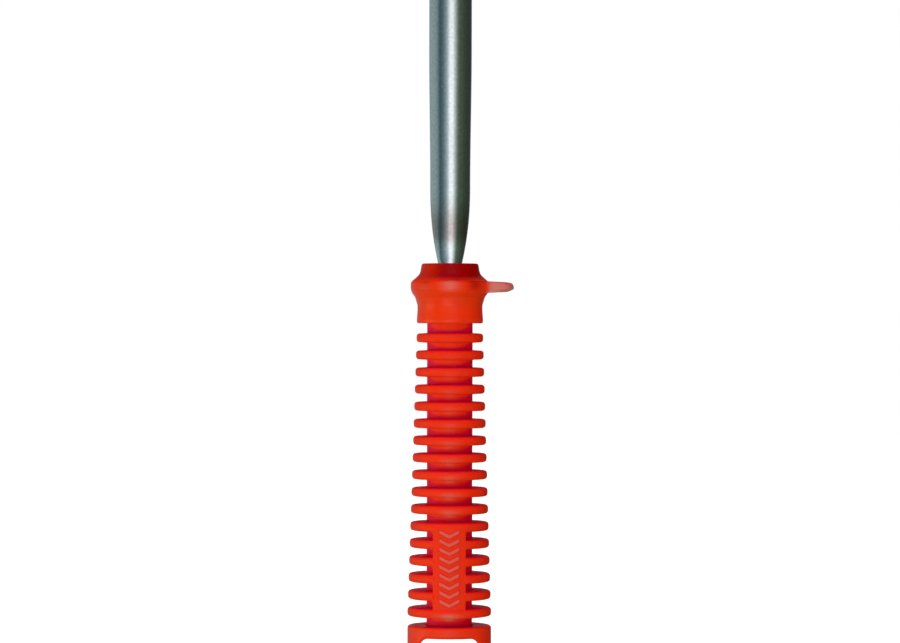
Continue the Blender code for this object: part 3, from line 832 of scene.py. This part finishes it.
# %% [markdown]
# ## End loop
#
# A round block with a wide eye from front to back, and a stem that stands in the core. The eye turns the
# skin into something no single turned profile can make. So the round wall is unrolled flat, and each half of
# it becomes a ring of faces between the eye's edge and the edge of the rectangle. The two caps are turned,
# on the very angles at which those rings end, so that everything welds.

# %% End loop sizes
EYE_HALF = 6.6 * MM
EYE_TOP_Z = LOOP_HEIGHT - 2.6 * MM
EYE_FOOT_Z = 5.0 * MM
EYE_MIDDLE_Z = (EYE_TOP_Z + EYE_FOOT_Z) / 2
EYE_CORNER = 1.7 * MM
EYE_ROUND = 0.8 * MM
LOOP_EDGE = 0.6 * MM
BUTT_EDGE = 1.8 * MM


# %% The eye's edge and its lip
def eye_outline(per_side=14, per_corner=8):
    """The eye's edge in the XZ plane, anticlockwise and closed, and the outward direction at each point."""
    quarter = np.arange(4)[:, None] * math.pi / 2
    turn = quarter + np.linspace(0, math.pi / 2, per_corner + 1)
    outward = np.stack([np.cos(turn), np.sin(turn)], axis=-1)
    signs = np.array([(1, 1), (-1, 1), (-1, -1), (1, -1)])
    room = np.array([EYE_HALF - EYE_CORNER, (EYE_TOP_Z - EYE_FOOT_Z) / 2 - EYE_CORNER])
    arcs = np.array([0, EYE_MIDDLE_Z]) + (signs * room)[:, None] + EYE_CORNER * outward
    begin = arcs[:, -1:]
    end = np.roll(arcs[:, :1], -1, axis=0)
    line = begin + (end - begin) * np.linspace(0, 1, per_side + 1)[None, 1:-1, None]
    facing = np.broadcast_to(outward[:, -1:], line.shape)
    points = np.concatenate([arcs, line], axis=1).reshape(-1, 2)
    normals = np.concatenate([outward, facing], axis=1).reshape(-1, 2)
    return np.concatenate([points, points[:1]]), np.concatenate([normals, normals[:1]])


def eye_lip(side):
    """From the middle of the eye out to the round wall, where the edge is rounded over."""
    outline, outward = eye_outline()
    bend = np.linspace(0, math.pi / 2, 9)[:, None]
    spread = EYE_ROUND * (1 - np.cos(bend))
    x = outline[:, 0] + outward[:, 0] * spread
    z = outline[:, 1] + outward[:, 1] * spread
    wall = np.sqrt(np.maximum(LOOP_RADIUS**2 - x**2, 0))
    y = wall - EYE_ROUND * (1 - np.sin(bend))
    share = np.linspace(0, 1, 5)[:-1, None]
    x = np.concatenate([np.repeat(x[:1], 4, axis=0), x])
    z = np.concatenate([np.repeat(z[:1], 4, axis=0), z])
    y = np.concatenate([y[:1] * share, y])
    return np.stack([x, side * y, z], axis=-1)


# %% The round wall
def wall_edge(chart):
    """Where rays from the eye's middle through the points leave the unrolled half wall's rectangle."""
    half_turn = LOOP_RADIUS * math.pi / 2
    low, high = BUTT_EDGE, LOOP_HEIGHT - LOOP_EDGE
    middle = np.array([0, EYE_MIDDLE_Z])
    ray = chart - middle
    room = np.where(ray[:, 1] > 0, high - EYE_MIDDLE_Z, EYE_MIDDLE_Z - low)
    stretch = np.minimum(
        half_turn / np.maximum(np.abs(ray[:, 0]), 1e-9), room / np.maximum(np.abs(ray[:, 1]), 1e-9)
    )
    edge = middle + ray * stretch[:, None]
    for corner in ((half_turn, high), (-half_turn, high), (-half_turn, low), (half_turn, low)):
        edge[np.argmin(np.linalg.norm(edge - corner, axis=1))] = corner
    edge[-1] = edge[0]
    return edge


def loop_wall(side):
    """One half of the wall, and the angles from +Y at which it meets the top and the foot."""
    lip = eye_lip(side)
    chart = np.stack([LOOP_RADIUS * np.arcsin(lip[-1, :, 0] / LOOP_RADIUS), lip[-1, :, 2]], axis=1)
    edge = wall_edge(chart)
    share = np.linspace(0, 1, 9)[1:, None]
    turn = (chart[:, 0] + (edge[:, 0] - chart[:, 0]) * share) / LOOP_RADIUS
    z = chart[:, 1] + (edge[:, 1] - chart[:, 1]) * share
    wall = np.stack([LOOP_RADIUS * np.sin(turn), side * LOOP_RADIUS * np.cos(turn), z], axis=-1)
    points = np.concatenate([lip, wall])
    sheet = np.concatenate([points, 0 * points[..., :1]], axis=-1)
    on_top = edge[:, 1] > LOOP_HEIGHT - LOOP_EDGE - 1e-8
    on_foot = edge[:, 1] < BUTT_EDGE + 1e-8
    return sheet, edge[on_top, 0] / LOOP_RADIUS, edge[on_foot, 0] / LOOP_RADIUS


# %% Top, socket, stem and foot
STEM_LENGTH = 12.0 * MM


def cap_angles(turns):
    """Both halves of the wall end at the same turns, mirrored, so one full circle of angles serves a cap."""
    back = math.pi / 2 - turns
    return np.unique(np.round(np.concatenate([back, 2 * math.pi - back]), 9))


def loop_caps(top_turns, foot_turns):
    """The foot is a rounded disc. The top runs over its edge, down the socket and up the stem."""
    bend = np.linspace(0, math.pi / 2, 9)
    foot_radius = LOOP_RADIUS - BUTT_EDGE * (1 - np.cos(bend))
    foot_height = BUTT_EDGE * (1 - np.sin(bend))
    top_radius = LOOP_RADIUS - LOOP_EDGE * (1 - np.cos(bend))
    top_height = LOOP_HEIGHT - LOOP_EDGE * (1 - np.sin(bend))
    socket_z = core_low.z - CLEARANCE
    stem_z = socket_z + STEM_LENGTH
    inner = round_corners(
        [
            (top_radius[-1], LOOP_HEIGHT),
            (SLEEVE_RADIUS + CLEARANCE, LOOP_HEIGHT),
            (SLEEVE_RADIUS + CLEARANCE, SLEEVE_FOOT_Z - CLEARANCE),
            (CORE_RADIUS + CLEARANCE, SLEEVE_FOOT_Z - CLEARANCE),
            (CORE_RADIUS + CLEARANCE, socket_z),
            (TANG_RADIUS, socket_z),
            (TANG_RADIUS, stem_z),
            (0, stem_z),
        ],
        np.array([0, 0.15, 0.1, 0.1, 0.1, 0.1, 0.3, 0]) * MM,
    )
    top = np.concatenate([np.stack([top_radius, top_height], axis=1), inner])
    foot = np.concatenate([np.stack([foot_radius, foot_height], axis=1), [[0, 0]]])
    # Painted shade on the block's top face, which looks up away from the low lamps
    painted_tone = smooth_step(LOOP_RADIUS - top[:, 0], 0.15 * MM, 0.6 * MM)[:, None]
    return [
        polar_sheet(top[:, :1], top[:, 1:], cap_angles(top_turns), painted_tone),
        polar_sheet(foot[:, :1], foot[:, 1:], cap_angles(foot_turns)),
    ]


def loop_sheets():
    back, top_turns, foot_turns = loop_wall(1)
    front = loop_wall(-1)[0]
    return [front, back, *loop_caps(top_turns, foot_turns)]


make_piece("hanging_end_loop", loop_sheets(), loop_red, "end_loop", 50)

# %% [markdown]
# ## Pieces inside the handle
#
# The core halves, the bush, the ring and the cross pin already have their right shapes. They only need a
# finish: white nylon with a faint flow pattern, and dark oiled spring steel.

# %% Nylon and spring steel
FLOW = 4 * MM  # swirls left by the flow into the mould
SCALE = 0.5 * MM  # spots of forge scale


def natural_nylon():
    material, tree, shader, place = new_material("natural_moulded_nylon")
    flowing = {"Vector": place, "Scale": 1 / FLOW, "Detail": 3.0, "Distortion": 0.6}
    flow = add(tree, "ShaderNodeTexNoise", flowing)
    tones = {"Factor": flow, "A": linear("#D8D2C2"), "B": linear("#E9E5DA")}
    tone = add(tree, "ShaderNodeMix", tones, data_type="RGBA")
    grain = add(tree, "ShaderNodeTexNoise", {"Vector": place, "Scale": 1 / (0.3 * MM), "Detail": 2.0})
    bump = add(tree, "ShaderNodeBump", {"Height": grain, "Strength": 0.2, "Distance": 0.02 * MM})
    feed(tree, shader, {"Base Color": tone, "Normal": bump, "Roughness": 0.5})
    shader.inputs["Subsurface Weight"].default_value = 0.3
    shader.inputs["Subsurface Scale"].default_value = 1.0 * MM
    return material


def spring_steel():
    material, tree, shader, place = new_material("oiled_spring_steel")
    scale = add(tree, "ShaderNodeTexNoise", {"Vector": place, "Scale": 1 / SCALE, "Detail": 4.0})
    tones = {"Factor": scale, "A": linear("#5A5A5C"), "B": linear("#8A8A88")}
    tone = add(tree, "ShaderNodeMix", tones, data_type="RGBA")
    feed(tree, shader, {"Base Color": tone, "Roughness": scale, "Metallic": 1.0})
    return material


def refinish(node, material):
    """A solid whose shape is right keeps its mesh and only changes its material."""
    slots = frame["nodes"][node].data.materials
    slots.clear()
    slots.append(material)


nylon = natural_nylon()
spring = spring_steel()
for node in ("core_half_left", "core_half_right", "neck_bush"):
    refinish(node, nylon)
for node in ("tang_ring", "loop_pin"):
    refinish(node, spring)
print("refinished the inner pieces")

# %% [markdown]
# ## Studio
#
# A pale floor, soft light and a level camera. The floor is only there for the camera. It casts no shadow
# and gives no light, so it stays an even white and a lamp can stand lower than it. It could share the
# lamps, but then each lamp would draw a patch on it, so it has a sun of its own.

# %% Floor
FLOOR_SIZE = 4.0
FLOOR_SUN = 4.2
FLOOR_SUN_SPREAD = 60  # degrees across


def make_floor():
    half = FLOOR_SIZE / 2
    corners = [(-half, -half, 0), (half, -half, 0), (half, half, 0), (-half, half, 0)]
    mesh = bpy.data.meshes.new("floor")
    mesh.from_pydata(corners, [], [(0, 1, 2, 3)])
    floor = bpy.data.objects.new("floor", mesh)
    bpy.context.scene.collection.objects.link(floor)
    material, tree, shader, place = new_material("pale_matt_floor")
    mottle = add(tree, "ShaderNodeTexNoise", {"Vector": place, "Scale": 8.0, "Detail": 3.0})
    tones = {"Factor": mottle, "A": linear("#EDEDEB"), "B": linear("#F1F1EF")}
    tone = add(tree, "ShaderNodeMix", tones, data_type="RGBA")
    feed(tree, shader, {"Base Color": tone})
    shader.inputs["Roughness"].default_value = 0.9
    shader.inputs["Specular IOR Level"].default_value = 0.1
    mesh.materials.append(material)
    floor.visible_shadow = False
    floor.visible_diffuse = False
    floor.visible_glossy = False
    return floor


def light_floor(floor):
    light = bpy.data.lights.new("floor_sun", "SUN")
    light.energy = FLOOR_SUN
    light.angle = math.radians(FLOOR_SUN_SPREAD)
    item = bpy.data.objects.new("floor_sun", light)
    bpy.context.scene.collection.objects.link(item)
    only_floor = bpy.data.collections.new("lit_by_floor_sun")
    only_floor.objects.link(floor)
    item.light_linking.receiver_collection = only_floor


floor = make_floor()
light_floor(floor)
print("floor made, metres across:", FLOOR_SIZE)

# %% [markdown]
# ## Room
#
# A bright steel rod shows its whole surroundings, one strip for every direction round it. They could be
# panels stood about the tool. Here the room is a ramp of colour round the horizon, which gives each strip a
# place and a soft edge: a window near the camera, another behind, pale walls on the left and dark shelves on
# the right. It is dim high above and far below. The cone of the neck leans down and mirrors lower parts of
# the room, where the strips stand further round, so two more ramps bend the angle by height.

# %% Room
AROUND = [  # degrees to the right of the camera as seen from the tool, and linear colour
    (-180, (0.75, 0.77, 0.80)),
    (-168, (0.60, 0.64, 0.68)),
    (-154, (0.28, 0.36, 0.38)),
    (-136, (0.42, 0.52, 0.55)),
    (-120, (0.40, 0.51, 0.53)),
    (-95, (0.38, 0.50, 0.52)),
    (-78, (0.30, 0.42, 0.45)),
    (-62, (0.075, 0.13, 0.15)),
    (-50, (0.09, 0.15, 0.175)),
    (-36, (0.19, 0.29, 0.34)),
    (-25, (0.36, 0.47, 0.53)),
    (-12, (0.80, 0.87, 0.94)),
    (-3, (1.70, 1.70, 1.79)),
    (14, (1.60, 1.63, 1.78)),
    (25, (0.80, 0.86, 0.84)),
    (37, (0.28, 0.34, 0.27)),
    (48, (0.09, 0.15, 0.11)),
    (65, (0.09, 0.125, 0.088)),
    (90, (0.06, 0.078, 0.054)),
    (130, (0.045, 0.06, 0.048)),
    (152, (0.07, 0.09, 0.08)),
    (168, (0.50, 0.54, 0.58)),
    (180, (0.75, 0.77, 0.80)),
]
UPWARDS = [  # the sine of the height above the horizon, and how bright the ramp is there
    (-1.0, 0.25),
    (-0.65, 0.60),
    (-0.45, 0.85),
    (-0.38, 1.0),
    (-0.24, 1.08),
    (-0.10, 1.0),
    (0.10, 1.0),
    (0.20, 0.35),
    (1.0, 0.30),
]
LEFT_SQUEEZE = [  # the same heights, and the factor on the angle there. Below 1 strips reach further round
    (-0.43, 1.05),
    (-0.38, 0.60),
    (-0.32, 0.58),
    (-0.24, 0.72),
    (-0.12, 0.88),
    (-0.05, 1.00),
]
RIGHT_SQUEEZE = [(-0.32, 0.87), (-0.12, 1.00)]


def colour_ramp(tree, value, stops):
    """A ramp with a stop for each (place from 0 to 1, colour)."""
    ramp = add(tree, "ShaderNodeValToRGB", {"Fac": value})
    elements = ramp.color_ramp.elements
    elements[0].position = stops[0][0]
    elements[1].position = stops[-1][0]
    for place, _ in stops[1:-1]:
        elements.new(place)
    for element, (_, colour) in zip(elements, stops):
        element.color = (*colour, 1)
    return ramp.outputs["Color"]


def make_world():
    """The camera sees a white backdrop. Everything else sees the room."""
    world = bpy.data.worlds.new("studio")
    bpy.context.scene.world = world
    world.use_nodes = True
    tree = world.node_tree
    way = add(tree, "ShaderNodeTexCoord").outputs["Generated"]
    split = add(tree, "ShaderNodeSeparateXYZ", {"Vector": way})
    front = add(tree, "ShaderNodeMath", {0: split.outputs["Y"], 1: -1.0}, operation="MULTIPLY")
    angle = add(tree, "ShaderNodeMath", {0: split.outputs["X"], 1: front}, operation="ARCTAN2")
    rise = add(tree, "ShaderNodeMath", {0: split.outputs["Z"], 1: 0.5, 2: 0.5}, operation="MULTIPLY_ADD")
    upwards, on_left, on_right = (
        colour_ramp(tree, rise, [(sine / 2 + 0.5, (level,) * 3) for sine, level in stops])
        for stops in (UPWARDS, LEFT_SQUEEZE, RIGHT_SQUEEZE)
    )
    left = add(tree, "ShaderNodeMath", {0: angle, 1: 0.0}, operation="MINIMUM")
    right = add(tree, "ShaderNodeMath", {0: angle, 1: 0.0}, operation="MAXIMUM")
    right = add(tree, "ShaderNodeMath", {0: right, 1: on_right}, operation="MULTIPLY")
    bending = {0: left, 1: on_left, 2: right}
    bent = add(tree, "ShaderNodeMath", bending, operation="MULTIPLY_ADD")
    turn = add(tree, "ShaderNodeMath", {0: bent, 1: 0.5 / math.pi, 2: 0.5}, operation="MULTIPLY_ADD")
    around_stops = [(degrees / 360 + 0.5, colour) for degrees, colour in AROUND]
    around = colour_ramp(tree, turn, around_stops)
    dimmed = {"Factor": 1.0, "A": around, "B": upwards}
    room_colour = add(tree, "ShaderNodeMix", dimmed, data_type="RGBA", blend_type="MULTIPLY")
    room = tree.nodes["Background"]
    feed(tree, room, {"Color": room_colour})
    white = add(tree, "ShaderNodeBackground", {"Color": (1.0, 1.0, 1.0, 1.0)})
    seen = add(tree, "ShaderNodeLightPath").outputs["Is Camera Ray"]
    choose = add(tree, "ShaderNodeMixShader", {0: seen, 1: room, 2: white})
    feed(tree, tree.nodes["World Output"], {"Surface": choose})


make_world()
print("room made, horizon stops:", len(AROUND))

# %% [markdown]
# ## Lamps
#
# Red rubber is lit by panels that leave the steel alone, so each can be set by itself. The widest in front
# stands low, like a window seen by a tool held upside down. It reaches under each rib and leaves the ledges
# in shade. Two more stand at the left and behind, and two red ones play the part of light sent back by red
# things close by.


# %% Lamps
def aim(item, target):
    """Turns an item's -Z towards the target: tilt is the angle from straight down."""
    away = np.array(item.location, float) - np.array(target, float)
    flat = math.hypot(away[0], away[1])
    item.rotation_euler = (math.atan2(flat, away[2]), 0, math.atan2(away[1], away[0]) + math.pi / 2)


def soft_lamp(name, turn, rise, distance, size, brightness, colour):
    """A panel seen from the grip at turn degrees right of the camera and rise degrees up. Its power is
    brightness * pi * area, which keeps its look when its size changes. It lights the red pieces only."""
    light = bpy.data.lights.new(name, "AREA")
    light.shape = "RECTANGLE"
    light.size, light.size_y = size
    light.energy = brightness * math.pi * size[0] * size[1]
    light.color = colour
    item = bpy.data.objects.new(name, light)
    bpy.context.scene.collection.objects.link(item)
    side, up = math.radians(turn), math.radians(rise)
    way = np.array([math.sin(side) * math.cos(up), -math.cos(side) * math.cos(up), math.sin(up)])
    item.location = GRIP_MIDDLE + distance * way
    aim(item, GRIP_MIDDLE)
    item.light_linking.receiver_collection = red_pieces
    return item


GRIP_MIDDLE = np.array([0, 0, 60 * MM])
red_pieces = bpy.data.collections.new("red_pieces")
for piece in bpy.context.scene.objects:
    if piece.type == "MESH" and {soft_red, loop_red, collar_red} & set(piece.data.materials):
        red_pieces.objects.link(piece)
soft_lamp("low_front_softbox", -10, -21, 0.6, (0.24, 0.08), 10.0, (1.0, 1.0, 0.76))
soft_lamp("small_front_lamp", 2, -8, 0.6, (0.04, 0.06), 20.0, (1.0, 0.95, 0.75))
soft_lamp("left_softbox", -78, -6, 0.6, (0.30, 0.20), 6.6, (1.0, 0.80, 0.46))
back_softbox = soft_lamp("back_softbox", 172, -14, 0.6, (0.30, 0.20), 7.0, (1.0, 0.95, 0.70))
back_softbox.visible_glossy = False  # else it glints along the far edges
soft_lamp("red_bounce_above", 0, 65, 0.8, (0.8, 0.8), 1.8, (1.0, 0.0, 0.30))
soft_lamp("red_bounce_right", 65, -5, 0.6, (0.3, 0.4), 1.5, (1.0, 0.02, 0.02))

# %% [markdown]
# The camera stands level with the middle of the picture, far enough away that the ribs show only a little
# of their upper faces at the bottom of the picture.

# %% Camera
CAMERA_DISTANCE = 0.80
CAMERA_HEIGHT = 0.09444
CAMERA_ASIDE = 0.00002
CAMERA_ROLL = -0.13  # degrees
SENSOR = 36.0  # mm
LENS = 136.64  # mm


def make_camera():
    data = bpy.data.cameras.new("camera")
    data.sensor_width = SENSOR
    data.lens = LENS
    data.clip_start = 0.01
    camera = bpy.data.objects.new("camera", data)
    camera.location = (CAMERA_ASIDE, -CAMERA_DISTANCE, CAMERA_HEIGHT)
    camera.rotation_euler = (math.radians(90), math.radians(CAMERA_ROLL), 0)
    bpy.context.scene.collection.objects.link(camera)
    bpy.context.scene.camera = camera
    return camera


camera = make_camera()
bpy.context.scene.view_settings.view_transform = "Standard"
bpy.context.scene.view_settings.look = "None"
print("camera at", tuple(round(value, 4) for value in camera.location))
